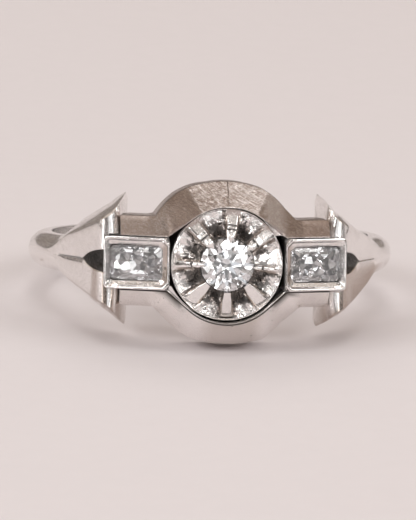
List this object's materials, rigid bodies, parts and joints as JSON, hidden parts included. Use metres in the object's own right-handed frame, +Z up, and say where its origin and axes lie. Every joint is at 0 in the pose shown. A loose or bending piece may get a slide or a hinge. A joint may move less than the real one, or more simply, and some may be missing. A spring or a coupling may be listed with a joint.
{
  "type": "three-stone ring",
  "caption": "Ring with split shoulders, bowed rails above and below, a round clawed head and an oblong box-set stone on each side.",
  "frame": {"origin": "middle of the ring's outline on the surface it lies on", "axes": "+Z up from that surface, +Y from the stones towards the back of the band, +X across the stones"},
  "size_m": [0.0196, 0.022, 0.0088],
  "materials": {
    "shank": "polished white gold, lightly worn",
    "upper_rail": "satin white gold with fine scratches",
    "lower_rail": "satin white gold with small pits",
    "centre_setting": "bright-cut white gold",
    "side_setting": "polished white gold",
    "centre_diamond": "polished facets",
    "side_diamond": "polished facets"
  },
  "bodies": {
    "root": {"shank": "shank", "upper_rail": "upper_rail", "lower_rail": "lower_rail", "centre_setting": "centre_setting", "left_setting": "side_setting", "right_setting": "side_setting", "centre_diamond": "centre_diamond", "left_diamond": "side_diamond", "right_diamond": "side_diamond"}
  },
  "joints": []
}
